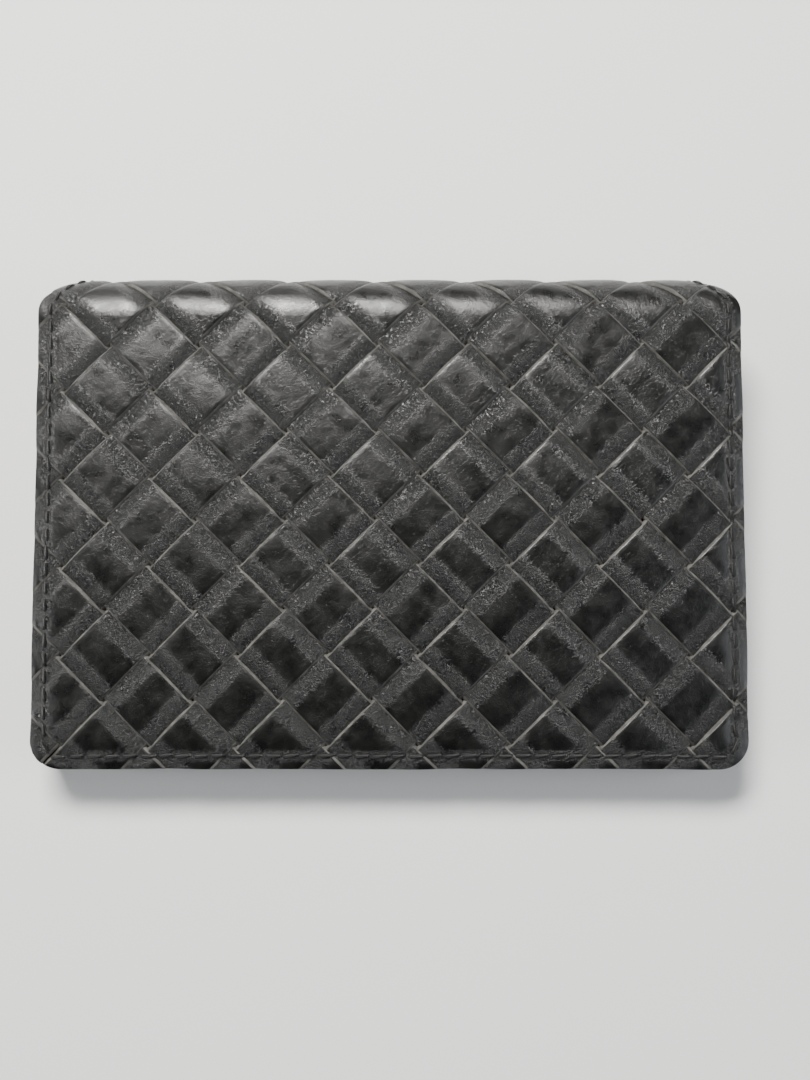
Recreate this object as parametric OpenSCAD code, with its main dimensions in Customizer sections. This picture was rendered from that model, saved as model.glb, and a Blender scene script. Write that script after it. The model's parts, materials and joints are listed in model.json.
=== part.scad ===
// Business card case: two woven leather covers that fold together over a
// rolled spine, with a slip pocket in the front cover and a gusseted card
// pocket on the back cover. Drawn closed, lying on its back cover.
// X is the width, Y runs from the open edge to the fold, Z is up.

/* [Case] */
// Width of the covers along the fold
case_w = 110; // [109:1:112]
// Depth from the open edge to the outside of the fold
case_h = 78; // [77:1:79]
// Thickness over the rolled fold
fold_t = 15; // [15:0.2:15.6]
// Slope of the closed front cover towards the open edge, in degrees
slope = 5; // [4.8:0.1:5]
// Rounding of the cover corners at the open edge
edge_r = 4.5; // [3:0.5:6]
// Rounding of the fold's two ends
fold_r = 6; // [5:0.5:6.5]

/* [Weave] */
// Distance between neighbouring strips
strip_pitch = 9.76; // [9.4:0.02:10.2]
// Free gap between neighbouring strips
strip_gap = 0.66; // [0.6:0.02:0.8]
// Thickness of one strip
strip_t = 0.79; // [0.7:0.01:0.79]
// Smallest length of a strip worth keeping at a corner
strip_min = 5; // [4:1:8]

/* [Layers] */
// Sheet that holds the strips of a cover in place
backing_t = 0.4; // [0.3:0.05:0.4]
// Smooth lining leather
lining_t = 0.7; // [0.6:0.05:0.7]
// Slip pocket and card slot leather
pocket_t = 0.7; // [0.6:0.05:0.7]
// Distance of the slip pocket's mouth from the open edge
slip_depth = 52; // [45:1:56]

/* [Card pocket] */
// Half width of the pocket front
pocket_hw = 54; // [53:0.5:54]
// Length of the pocket front from its hinge line to its mouth
pocket_len = 61; // [58:0.5:61]
// Length of the card slot panel
slot_len = 41; // [36:1:46]
// Rest angle between the pocket front and the back cover, in degrees
pocket_a = 5; // [4.95:0.05:5]
// Gusset leaf angle at its apex, in degrees
gusset_a = 6.5; // [6.4:0.05:6.6]
// Gusset leather thickness
gusset_t = 0.4; // [0.3:0.05:0.4]

/* [Seams] */
// Distance of the seams from the edges
seam_in = 2; // [1.8:0.1:2.2]
// Distance from one stitch to the next
stitch_pitch = 2.7; // [2.4:0.1:3.2]
// Length of one visible stitch
stitch_len = 2.1; // [1.8:0.1:2.2]
// Thread width
thread_w = 0.5; // [0.4:0.05:0.5]

/* [Hidden] */
$fn = 96;
weave_t = 1.6;
panel_t = weave_t + backing_t + lining_t;
fold_R = fold_t / 2;
hw = case_w / 2;
y_open = -case_h / 2;
y_axis = case_h / 2 - fold_R;
// Where the front cover leaves the fold, on its outer face
y_tan = y_axis - fold_R * sin(slope);
z_tan = fold_R + fold_R * cos(slope);
front_len = (y_tan - y_open) / cos(slope);
back_len = y_axis - y_open;
// V is the distance along the outer surface, 0 above the middle of the case
v_tan = y_tan / cos(slope);
v_open = v_tan - front_len;
v_back = v_tan + fold_R * (180 + slope) * PI / 180;
v_end = v_back + back_len;
// Lattice of strip crossings along the two diagonals
lat_c = -7.354;
lat_s = -5.759;
strip_w = strip_pitch - strip_gap;
drop = weave_t - strip_t;
groove_d = 0.4;
// Fold segments turn on lines on the outer surface
seg_a = (180 + slope) / 4;
seg_gap = 0.2;
hinge_a = [for (i = [0:3]) -90 + seg_a / 2 + i * seg_a];
// Apex of the gussets and of the pocket front
apex = [0, y_open + 2.9, panel_t + 0.25];
hinge_x = 51.5;
leaf_y0 = 10;
crease_b = sqrt(1 - pow(cos(gusset_a) / cos(pocket_a / 2), 2));
leaf_a = atan(cos(gusset_a) * tan(pocket_a / 2) / crease_b);
leather = [0.09, 0.09, 0.09];
inner = [0.14, 0.13, 0.13];
sheet = [0.2, 0.18, 0.17];
thread = [0.05, 0.05, 0.05];

// ---- Frames -----------------------------------------------------------------

// Children drawn with x = width, y = V and z = height over the outer face
module on_front() {
  translate([0, y_tan, z_tan])
    rotate([slope, 0, 0])
      translate([0, -v_tan, 0])
        children();
}

module on_back() {
  translate([0, y_axis + v_back, 0])
    rotate([180, 0, 0])
      children();
}

// Children drawn with x = width, y = distance from the apex, z = height over the hinge plane
module on_pocket() {
  translate(apex)
    rotate([pocket_a, 0, 0])
      children();
}

// ---- Cover outlines ---------------------------------------------------------

// A sheet with two rounded corners at v0 (end = 0) or at v1 (end = 1)
module sheet_plate(v0, v1, h0, h1, half_w, end, r) {
  vc = end == 0 ? v0 + r : v1 - r;
  ve = end == 0 ? v0 : v1;
  difference() {
    translate([-half_w, v0, h0])
      cube([2 * half_w, v1 - v0, h1 - h0]);
    for (s = [-1, 1])
      difference() {
        translate([s * (half_w - r / 2 + 0.5) - r / 2 - 0.5, min(vc, ve + (end == 0 ? -1 : 1)), h0 - 1])
          cube([r + 1, r + 1, h1 - h0 + 2]);
        translate([s * (half_w - r), vc, h0 - 2])
          cylinder(r = r, h = h1 - h0 + 4);
      }
  }
}

// The three seam channels of a cover
module seam_channels(v0, v1, end, h0, h1) {
  ve = end == 0 ? v0 + seam_in : v1 - seam_in;
  w = thread_w + 0.2;
  for (s = [-1, 1])
    translate([s * (hw - seam_in) - w / 2, v0 - 1, h0])
      cube([w, v1 - v0 + 2, h1 - h0]);
  translate([-hw - 1, ve - w / 2, h0])
    cube([2 * hw + 2, w, h1 - h0]);
}

// One row of stitches along x or y, centred in height on h
module stitch_row(p0, p1, h, along_x) {
  n = floor(((along_x ? p1[0] - p0[0] : p1[1] - p0[1]) - stitch_len) / stitch_pitch);
  slack = (along_x ? p1[0] - p0[0] : p1[1] - p0[1]) - n * stitch_pitch;
  for (i = [0:n])
    translate([p0[0] + (along_x ? slack / 2 + i * stitch_pitch : 0),
               p0[1] + (along_x ? 0 : slack / 2 + i * stitch_pitch), h])
      cube(along_x ? [stitch_len, thread_w, 0.3] : [thread_w, stitch_len, 0.3], center = true);
}

// Both side rows and the edge row of a cover
module seam_stitches(v0, v1, end, h) {
  ve = end == 0 ? v0 + seam_in : v1 - seam_in;
  a = end == 0 ? v0 + edge_r : v0 + 0.6;
  b = end == 0 ? v1 - 0.6 : v1 - edge_r;
  for (s = [-1, 1])
    stitch_row([s * (hw - seam_in), a], [s * (hw - seam_in), b], h, false);
  stitch_row([-hw + edge_r, ve], [hw - edge_r, ve], h, true);
}

// ---- Weave ------------------------------------------------------------------

// Wavy side view of a strip that is on top where k + parity is even
function strip_top(k, parity) = (abs(k) + parity) % 2 == 0 ? 0 : -drop;

module strip_profile(t0, k0, k1, parity) {
  up = [for (k = [k0:k1]) for (e = [-1, 1])
          [t0 + strip_pitch * k + e * strip_w / 2, strip_top(k, parity)]];
  down = [for (i = [len(up) - 1:-1:0]) [up[i][0], up[i][1] - strip_t]];
  polygon(concat(up, down));
}

// One strip: m is its own place in its family, across its centre line
module strip(across, t0, m, lo, hi, falling) {
  k0 = floor((lo - t0) / strip_pitch);
  k1 = ceil((hi - t0) / strip_pitch);
  rotate([0, 0, falling ? -45 : 45])
    translate([0, across + strip_w / 2, 0])
      rotate([90, 0, 0])
        linear_extrude(height = strip_w)
          strip_profile(t0, k0, k1, (abs(m) + (falling ? 0 : 1)) % 2);
}

// All strips of one family over a cover between v0 and v1
module strip_family(v0, v1, end, falling) {
  q = sqrt(2);
  // A falling strip keeps c and runs along s; a rising strip keeps s and runs along c
  m_lo = floor((falling ? (-hw + v0) / q - lat_c : (-hw - v1) / q - lat_s) / strip_pitch);
  m_hi = ceil((falling ? (hw + v1) / q - lat_c : (hw - v0) / q - lat_s) / strip_pitch);
  for (m = [m_lo:m_hi]) {
    p = (falling ? lat_c : lat_s) + strip_pitch * m;
    lo = falling ? max(-hw * q - p, p - v1 * q) : max(-hw * q - p, v0 * q + p);
    hi = falling ? min(hw * q - p, p - v0 * q) : min(hw * q - p, v1 * q + p);
    if (hi - lo > strip_min)
      difference() {
        intersection() {
          strip(falling ? p : -p, falling ? lat_s : lat_c, m, lo, hi, falling);
          sheet_plate(v0, v1, -weave_t - 1, 1, hw, end, edge_r);
        }
        seam_channels(v0, v1, end, -groove_d, 1);
      }
  }
}

// ---- Covers -----------------------------------------------------------------

module front_rising_strips() {
  color(leather) on_front() strip_family(v_open, v_tan, 0, false);
}

module front_falling_strips() {
  color(leather) on_front() strip_family(v_open, v_tan, 0, true);
}

module back_rising_strips() {
  color(leather) on_back() strip_family(v_back, v_end, 1, false);
}

module back_falling_strips() {
  color(leather) on_back() strip_family(v_back, v_end, 1, true);
}

module front_backing() {
  color(sheet) on_front()
    sheet_plate(v_open, v_tan, -weave_t - backing_t, -weave_t, hw, 0, edge_r);
}

module back_backing() {
  color(sheet) on_back()
    sheet_plate(v_back, v_end, -weave_t - backing_t, -weave_t, hw, 1, edge_r);
}

module front_lining() {
  color(inner) on_front()
    sheet_plate(v_open, v_tan, -panel_t, -weave_t - backing_t, hw, 0, edge_r);
}

module back_lining() {
  color(inner) on_back()
    sheet_plate(v_back, v_end, -panel_t, -weave_t - backing_t, hw, 1, edge_r);
}

module front_slip_pocket() {
  color(inner) on_front()
    difference() {
      sheet_plate(v_open, v_open + slip_depth, -panel_t - pocket_t, -panel_t, hw, 0, edge_r);
      // Thumb notch at the mouth
      translate([0, v_open + slip_depth + 21, -panel_t - 2])
        cylinder(r = 25, h = 4);
      seam_channels(v_open, v_open + slip_depth, 0, -panel_t - pocket_t - 1,
                    -panel_t - pocket_t + groove_d);
      translate([-hw + 4, v_open + slip_depth - 2.3, -panel_t - pocket_t - 1])
        cube([hw - 18, thread_w + 0.2, 1 + groove_d]);
      translate([14, v_open + slip_depth - 2.3, -panel_t - pocket_t - 1])
        cube([hw - 18, thread_w + 0.2, 1 + groove_d]);
    }
}

// ---- Fold -------------------------------------------------------------------

// A slice of the rolled fold between two angles, rounded with the cover's ends
module fold_slice(r0, r1, a0, a1) {
  intersection() {
    translate([-hw, y_axis, fold_R])
      rotate([90, 0, 90])
        rotate([0, 0, a0])
          rotate_extrude(angle = a1 - a0)
            translate([r0, 0])
              square([r1 - r0, 2 * hw]);
    sheet_plate(y_axis - fold_R, case_h / 2, -1, fold_t + 1, hw, 1, fold_r);
  }
}

module fold_piece(i, r0, r1) {
  g = seg_gap / fold_R * 90 / PI;
  fold_slice(r0, r1, i == 0 ? -90 : hinge_a[i - 1] + g, i == 4 ? 90 + slope : hinge_a[i] - g);
}

module fold_weave(i) {
  color(leather) fold_piece(i, fold_R - weave_t, fold_R);
}

module fold_lining(i) {
  color(inner) fold_piece(i, fold_R - weave_t - lining_t, fold_R - weave_t);
}

module fold_weave_back() { fold_weave(0); }
module fold_weave_1() { fold_weave(1); }
module fold_weave_2() { fold_weave(2); }
module fold_weave_3() { fold_weave(3); }
module fold_weave_front() { fold_weave(4); }
module fold_lining_back() { fold_lining(0); }
module fold_lining_1() { fold_lining(1); }
module fold_lining_2() { fold_lining(2); }
module fold_lining_3() { fold_lining(3); }
module fold_lining_front() { fold_lining(4); }

// ---- Card pocket ------------------------------------------------------------

// Sewn strip that closes the pocket along the open edge
module pocket_bottom_band() {
  color(inner)
    translate([0, 0, panel_t])
      intersection() {
        translate([-pocket_hw, y_open, 0])
          cube([2 * pocket_hw, 2.5, 1.3]);
        sheet_plate(y_open, 0, -1, 3, hw, 0, edge_r);
      }
}

// Shallow scoop in the mouth for the thumb
module mouth_scoop(len) {
  translate([0, len + 21, -2])
    cylinder(r = 25, h = 8);
}

module pocket_sheet(r0, len, h0, h1) {
  difference() {
    translate([-pocket_hw, r0, h0])
      cube([2 * pocket_hw, len - r0, h1 - h0]);
    mouth_scoop(len);
  }
}

module pocket_front_lining() {
  color(inner) on_pocket()
    pocket_sheet(0.3, pocket_len, 0.25, 0.25 + lining_t);
}

// Grooves hold the side and mouth rows of stitches
module pocket_front() {
  z1 = 0.25 + lining_t + pocket_t;
  w = thread_w + 0.2;
  color(leather) on_pocket()
    difference() {
      pocket_sheet(0.3, pocket_len, 0.25 + lining_t, z1);
      for (s = [-1, 1])
        translate([s * (pocket_hw - seam_in) - w / 2, slot_len, z1 - groove_d])
          cube([w, pocket_len, 1]);
      for (x0 = [-pocket_hw + 3, 14])
        translate([x0, pocket_len - seam_in - w / 2, z1 - groove_d])
          cube([pocket_hw - 17, w, 1]);
    }
}

module card_slot_panel() {
  z0 = 0.25 + lining_t + pocket_t;
  w = thread_w + 0.2;
  color(inner) on_pocket()
    difference() {
      pocket_sheet(0.5, slot_len, z0, z0 + pocket_t);
      for (s = [-1, 1])
        translate([s * (pocket_hw - seam_in) - w / 2, -1, z0 + pocket_t - groove_d])
          cube([w, slot_len + 2, 1]);
      for (x0 = [-pocket_hw + 3, 14])
        translate([x0, slot_len - seam_in - w / 2, z0 + pocket_t - groove_d])
          cube([pocket_hw - 17, w, 1]);
    }
}

// ---- Gussets ----------------------------------------------------------------

module gusset_rear_flange() {
  color(inner)
    translate([hinge_x + 0.2, apex[1] + 8, panel_t])
      cube([hw - 0.6 - hinge_x - 0.2, pocket_len - 8.2, gusset_t + 0.05]);
}

module gusset_front_flange() {
  color(inner) on_pocket()
    translate([hinge_x + 0.2, 8, -gusset_t / 2])
      cube([pocket_hw - hinge_x - 0.2, pocket_len - 8.2, gusset_t / 2 + 0.25]);
}

// Leaf drawn from the hinge line (x = 0) to the crease
module leaf_outline() {
  polygon([[-0.2, leaf_y0], [-0.2, pocket_len - 0.4],
           [-(pocket_len - 0.4) * tan(gusset_a) + 0.55, pocket_len - 0.4],
           [-leaf_y0 * tan(gusset_a) + 0.55, leaf_y0]]);
}

module gusset_rear_leaf() {
  color(inner)
    translate([hinge_x, apex[1], apex[2]])
      rotate([0, leaf_a, 0])
        linear_extrude(height = gusset_t, center = true)
          leaf_outline();
}

module gusset_front_leaf() {
  color(inner)
    translate(apex)
      mirror([0, -sin(pocket_a / 2), cos(pocket_a / 2)])
        translate(-apex)
          gusset_rear_leaf();
}

module right_gusset_rear_flange() { gusset_rear_flange(); }
module right_gusset_rear_leaf() { gusset_rear_leaf(); }
module right_gusset_front_leaf() { gusset_front_leaf(); }
module right_gusset_front_flange() { gusset_front_flange(); }
module left_gusset_rear_flange() { mirror([1, 0, 0]) gusset_rear_flange(); }
module left_gusset_rear_leaf() { mirror([1, 0, 0]) gusset_rear_leaf(); }
module left_gusset_front_leaf() { mirror([1, 0, 0]) gusset_front_leaf(); }
module left_gusset_front_flange() { mirror([1, 0, 0]) gusset_front_flange(); }

// ---- Stitches ---------------------------------------------------------------

module front_outer_stitches() {
  color(thread) on_front() seam_stitches(v_open, v_tan, 0, -0.22);
}

module back_outer_stitches() {
  color(thread) on_back() seam_stitches(v_back, v_end, 1, -0.22);
}

module front_inner_stitches() {
  h = -panel_t - pocket_t + 0.22;
  color(thread) on_front()
    seam_stitches(v_open, v_open + slip_depth - 2.5, 0, h);
}

module slip_pocket_mouth_stitches() {
  h = -panel_t - pocket_t + 0.22;
  v = v_open + slip_depth - 2.3 + thread_w / 2 + 0.1;
  color(thread) on_front()
    for (s = [-1, 1])
      stitch_row([s > 0 ? 14.5 : -hw + 4.5, v], [s > 0 ? hw - 4.5 : -14.5, v], h, true);
}

module pocket_side_stitches() {
  z = 0.25 + lining_t + pocket_t - 0.22;
  color(thread) on_pocket()
    for (s = [-1, 1]) {
      stitch_row([s * (pocket_hw - seam_in), slot_len + 0.6],
                 [s * (pocket_hw - seam_in), pocket_len - 3], z, false);
      stitch_row([s * (pocket_hw - seam_in), 1],
                 [s * (pocket_hw - seam_in), slot_len - 3], z + pocket_t, false);
    }
}

module pocket_mouth_stitches() {
  z = 0.25 + lining_t + pocket_t - 0.22;
  y = pocket_len - seam_in;
  color(thread) on_pocket()
    for (s = [-1, 1])
      stitch_row([s > 0 ? 14.5 : -pocket_hw + 3.4, y], [s > 0 ? pocket_hw - 3.4 : -14.5, y], z, true);
}

module card_slot_stitches() {
  z = 0.25 + lining_t + 2 * pocket_t - 0.22;
  y = slot_len - seam_in;
  color(thread) on_pocket()
    for (s = [-1, 1])
      stitch_row([s > 0 ? 14.5 : -pocket_hw + 3.4, y], [s > 0 ? pocket_hw - 3.4 : -14.5, y], z, true);
}

front_rising_strips();
front_falling_strips();
back_rising_strips();
back_falling_strips();
front_backing();
back_backing();
front_lining();
back_lining();
front_slip_pocket();
fold_weave_back();
fold_weave_1();
fold_weave_2();
fold_weave_3();
fold_weave_front();
fold_lining_back();
fold_lining_1();
fold_lining_2();
fold_lining_3();
fold_lining_front();
pocket_bottom_band();
pocket_front();
pocket_front_lining();
card_slot_panel();
left_gusset_rear_flange();
left_gusset_rear_leaf();
left_gusset_front_leaf();
left_gusset_front_flange();
right_gusset_rear_flange();
right_gusset_rear_leaf();
right_gusset_front_leaf();
right_gusset_front_flange();
front_outer_stitches();
front_inner_stitches();
back_outer_stitches();
pocket_side_stitches();
pocket_mouth_stitches();
card_slot_stitches();
slip_pocket_mouth_stitches();
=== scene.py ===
import json
import math

import bpy
import numpy as np
from mathutils import Matrix, Vector


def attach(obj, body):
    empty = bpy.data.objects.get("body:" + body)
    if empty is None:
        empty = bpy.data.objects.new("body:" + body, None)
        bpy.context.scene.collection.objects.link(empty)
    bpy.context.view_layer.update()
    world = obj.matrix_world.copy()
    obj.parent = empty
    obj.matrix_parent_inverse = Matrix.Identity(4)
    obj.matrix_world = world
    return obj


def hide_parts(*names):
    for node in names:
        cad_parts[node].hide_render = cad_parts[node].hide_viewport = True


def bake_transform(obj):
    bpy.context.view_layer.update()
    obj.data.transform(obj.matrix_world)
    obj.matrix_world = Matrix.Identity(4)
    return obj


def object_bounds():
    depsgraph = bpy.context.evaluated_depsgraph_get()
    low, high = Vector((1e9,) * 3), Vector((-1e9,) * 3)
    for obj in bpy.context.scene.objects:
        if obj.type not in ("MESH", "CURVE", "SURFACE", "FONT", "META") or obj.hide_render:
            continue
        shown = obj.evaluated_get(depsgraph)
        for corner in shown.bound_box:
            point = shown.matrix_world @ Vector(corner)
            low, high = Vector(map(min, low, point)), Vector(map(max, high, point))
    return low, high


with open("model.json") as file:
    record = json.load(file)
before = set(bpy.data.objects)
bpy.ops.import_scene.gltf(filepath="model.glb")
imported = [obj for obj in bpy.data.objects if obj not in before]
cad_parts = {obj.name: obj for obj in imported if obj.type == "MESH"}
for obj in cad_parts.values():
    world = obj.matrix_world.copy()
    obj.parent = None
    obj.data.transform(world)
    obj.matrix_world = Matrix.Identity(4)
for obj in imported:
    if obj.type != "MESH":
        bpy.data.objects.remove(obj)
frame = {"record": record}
cad_low, cad_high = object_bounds()

MM = 0.001
SEED = 7
rng = np.random.default_rng(SEED)

# ---- Sizes in millimetres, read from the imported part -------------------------

JOINTS = {j["name"]: j for j in frame["record"]["behaviour"]["joints"]}
HALF_W = (cad_high[0] - cad_low[0]) / 2 / MM
Y_OPEN = cad_low[1] / MM
Y_FOLD = cad_high[1] / MM
FOLD_R = (cad_high[2] - cad_low[2]) / 2 / MM
Y_AXIS = Y_FOLD - FOLD_R
SEG = JOINTS["fold_hinge_1"]["range_deg"][1]
SLOPE = 4 * SEG - 180
APEX = [v / MM for v in JOINTS["pocket_swing"]["pos_m"]]
HINGE_X = JOINTS["right_rear_leaf_fold"]["pos_m"][0] / MM

# V is the distance along the cover's outer surface, 0 over the middle of the case.
SIN_S, COS_S = math.sin(math.radians(SLOPE)), math.cos(math.radians(SLOPE))
Y_TAN = Y_AXIS - FOLD_R * SIN_S
Z_TAN = FOLD_R * (1 + COS_S)
V_TAN = Y_TAN / COS_S
V_OPEN = V_TAN - (Y_TAN - Y_OPEN) / COS_S
V_BACK = V_TAN + FOLD_R * math.radians(180 + SLOPE)
V_END = V_BACK + Y_AXIS - Y_OPEN
V_MID = (V_TAN + V_BACK) / 2
ZONES = [V_TAN + i * (V_BACK - V_TAN) / 4 for i in range(5)]

# Weave
PITCH = 9.76
STRIP_W = 9.52
BEVEL = 0.40
LAT_C, LAT_S = -7.354, -5.759
STRIP_T = 0.80
WAVE = 0.46
EDGE_R = 4.5
WAIST_D, WAIST_L = 5.0, 11.0

# Layers: heights below the outer surface
BACKING_H = 1.75
LINING_H = 2.0
PANEL_T = 2.7
FOLD_LINING_H = 2.45
POCKET_T = 0.7
SLIP_DEPTH = 52.0

# Card pocket: rest angle, half width, lengths from its hinge line, gusset leaf angle
POCKET_A = 5.0
POCKET_HW = 54.0
POCKET_LEN = 61.0
SLOT_LEN = 41.0
GUSSET_A = 6.5
GUSSET_T = 0.4

# Seams
SEAM_IN = 2.0
STITCH_PITCH = 2.7
THREAD_R = 0.30


# ---- Small maths helpers -----------------------------------------------------

def smooth(x, a, b):
    """0 before a, 1 after b, smooth between."""
    t = np.clip((np.asarray(x, float) - a) / (b - a), 0, 1)
    return t * t * (3 - 2 * t)


def wobble(x, seed, scale):
    """A smooth irregular curve between about -1 and 1."""
    r = np.random.default_rng(seed)
    out = np.zeros_like(np.asarray(x, float))
    for k in range(4):
        out = out + math.sin(1) ** k * np.sin(np.asarray(x) / scale * (0.7 + 0.9 * k) + r.uniform(0, 6.3))
    return out / 2.4


def half_width(v):
    """Half the cover's width: waisted where it goes round the fold."""
    s = np.clip(np.abs(np.asarray(v, float) - V_MID) / WAIST_L, 0, 1)
    return HALF_W - WAIST_D * (1 + np.cos(np.pi * s)) / 2


def outline(u, v, inset=0.0):
    """Distance to the cover's outline, negative inside."""
    u, v = np.asarray(u, float), np.asarray(v, float)
    hw = half_width(v) - inset - 0.10 - 0.10 * wobble(v, 3, 7.0)
    rough = 0.10 + 0.08 * wobble(u, 5, 6.0) + inset
    qx = np.abs(u) - (hw - EDGE_R)
    qy = np.maximum(V_OPEN + rough + EDGE_R - v, v - (V_END - rough - EDGE_R))
    return (np.hypot(np.maximum(qx, 0), np.maximum(qy, 0))
            + np.minimum(np.maximum(qx, qy), 0) - EDGE_R)


def wrap(u, v, h):
    """Places points of the flat cover on the folded one. h is the height over the outer surface."""
    u, v, h = np.broadcast_arrays(np.asarray(u, float), np.asarray(v, float), np.asarray(h, float))
    out = np.empty(u.shape + (3,))
    out[..., 0] = u
    front, back = v < V_TAN, v > V_BACK
    ang = math.radians(90 + SLOPE) - (v - V_TAN) / FOLD_R
    out[..., 1] = Y_AXIS + (FOLD_R + h) * np.cos(ang)
    out[..., 2] = FOLD_R + (FOLD_R + h) * np.sin(ang)
    d = v - V_TAN
    out[..., 1] = np.where(front, Y_TAN + d * COS_S - h * SIN_S, out[..., 1])
    out[..., 2] = np.where(front, Z_TAN + d * SIN_S + h * COS_S, out[..., 2])
    out[..., 1] = np.where(back, Y_AXIS + V_BACK - v, out[..., 1])
    out[..., 2] = np.where(back, -h, out[..., 2])
    return out


def on_pocket(u, r, h):
    """Places points in the card pocket's tilted plane. r is the distance from its hinge line."""
    a = math.radians(POCKET_A)
    u, r, h = np.broadcast_arrays(np.asarray(u, float), np.asarray(r, float), np.asarray(h, float))
    return np.stack([u, APEX[1] + r * math.cos(a) - h * math.sin(a),
                     APEX[2] + r * math.sin(a) + h * math.cos(a)], -1)


# ---- Flat meshes that are cut to an outline ----------------------------------

class Flat:
    """A flat mesh: points with any number of values per point, and faces."""

    def __init__(self, data, faces):
        self.data, self.faces = data, faces

    @staticmethod
    def grid(a, b):
        """A grid over two lists of coordinates."""
        na, nb = len(a), len(b)
        data = np.stack(np.meshgrid(a, b, indexing="ij"), -1).reshape(-1, 2)
        i, j = np.meshgrid(np.arange(na - 1), np.arange(nb - 1), indexing="ij")
        k = (i * nb + j).ravel()
        faces = np.stack([k, k + nb, k + nb + 1, k + 1], -1)
        return Flat(data, [tuple(f) for f in faces.tolist()])

    def keep(self, f):
        """The part where f is negative. f holds one value per point."""
        data, faces, made = [self.data], [], {}
        f = np.where(np.abs(f) < 1e-7, -1e-7, f)
        inside = (f < 0).tolist()
        n = len(self.data)
        new = []
        for face in self.faces:
            ins = [inside[k] for k in face]
            if all(ins):
                faces.append(face)
                continue
            if not any(ins):
                continue
            out = []
            for i, k in enumerate(face):
                m = face[(i + 1) % len(face)]
                if inside[k]:
                    out.append(k)
                if inside[k] != inside[m]:
                    key = (k, m) if k < m else (m, k)
                    if key not in made:
                        t = f[key[0]] / (f[key[0]] - f[key[1]])
                        new.append(self.data[key[0]] * (1 - t) + self.data[key[1]] * t)
                        made[key] = n + len(new) - 1
                    out.append(made[key])
            if len(out) > 2:
                faces.append(tuple(out))
        if new:
            data.append(np.array(new))
        return Flat(np.concatenate(data), faces).compact()

    def compact(self):
        used = sorted({k for f in self.faces for k in f})
        place = {k: i for i, k in enumerate(used)}
        data = self.data[used] if used else self.data[:0]
        return Flat(data, [tuple(place[k] for k in f) for f in self.faces])

    def rim(self):
        """Edges with a face on one side only."""
        seen = {}
        for f in self.faces:
            for i, k in enumerate(f):
                m = f[(i + 1) % len(f)]
                if (m, k) in seen:
                    del seen[(m, k)]
                else:
                    seen[(k, m)] = True
        return list(seen)


class Builder:
    """Collects points, faces, texture coordinates and material numbers for one mesh."""

    def __init__(self):
        self.points, self.uvs, self.worn, self.faces, self.marks, self.count = [], [], [], [], [], 0

    def add(self, points, uvs, faces, mark=0, worn=None):
        self.points.append(np.asarray(points, float))
        self.uvs.append(np.asarray(uvs, float))
        self.worn.append(np.zeros((len(points), 2)) if worn is None else np.asarray(worn, float))
        self.faces += [tuple(k + self.count for k in f) for f in faces]
        self.marks += [mark] * len(faces) if np.isscalar(mark) else list(mark)
        self.count += len(points)

    def build(self, name, materials, smooth_faces=True):
        mesh = bpy.data.meshes.new(name)
        pts = np.concatenate(self.points) * MM
        mesh.from_pydata(pts.tolist(), [], self.faces)
        for m in materials:
            mesh.materials.append(m)
        mesh.polygons.foreach_set("material_index", np.array(self.marks, np.int32))
        mesh.polygons.foreach_set("use_smooth", np.full(len(self.faces), smooth_faces))
        layer = mesh.uv_layers.new(name="mm")
        loops = np.empty(len(mesh.loops), np.int32)
        mesh.loops.foreach_get("vertex_index", loops)
        layer.data.foreach_set("uv", np.concatenate(self.uvs)[loops].astype(np.float32).ravel())
        layer = mesh.uv_layers.new(name="bend")
        layer.data.foreach_set("uv", np.concatenate(self.worn)[loops].astype(np.float32).ravel())
        mesh.validate()
        mesh.update()
        obj = bpy.data.objects.new(name, mesh)
        bpy.context.scene.collection.objects.link(obj)
        return obj


def slab(builder, flat, place, top, bottom, uv, wall_mark, mark=0, flip=False, worn=None):
    """Top, bottom and walls over a flat mesh. wall_mark(edge ends) gives a material or None."""
    n = len(flat.data)
    hi, lo = place(flat.data, top), place(flat.data, bottom)
    faces = [f[::-1] for f in flat.faces] if flip else flat.faces
    builder.add(hi, uv, faces, mark, worn)
    builder.add(lo, uv, [f[::-1] for f in faces], mark, worn)
    walls = {}
    for k, m in flat.rim():
        w = wall_mark(flat.data[k], flat.data[m])
        if w is not None:
            walls.setdefault(w, []).append((m, k) if flip else (k, m))
    for w, edges in walls.items():
        used = sorted({k for e in edges for k in e})
        place_of = {k: i for i, k in enumerate(used)}
        z = len(used)
        mid = (np.asarray(top) + np.asarray(bottom)) / 2 * np.ones(n)
        pts = np.concatenate([hi[used], lo[used]])
        uvs = np.concatenate([uv[used], uv[used] + [0, 0.8]])
        quads = [(place_of[m], place_of[k], place_of[k] + z, place_of[m] + z) for k, m in edges]
        builder.add(pts, uvs, quads, w)


# ---- Materials ---------------------------------------------------------------

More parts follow.
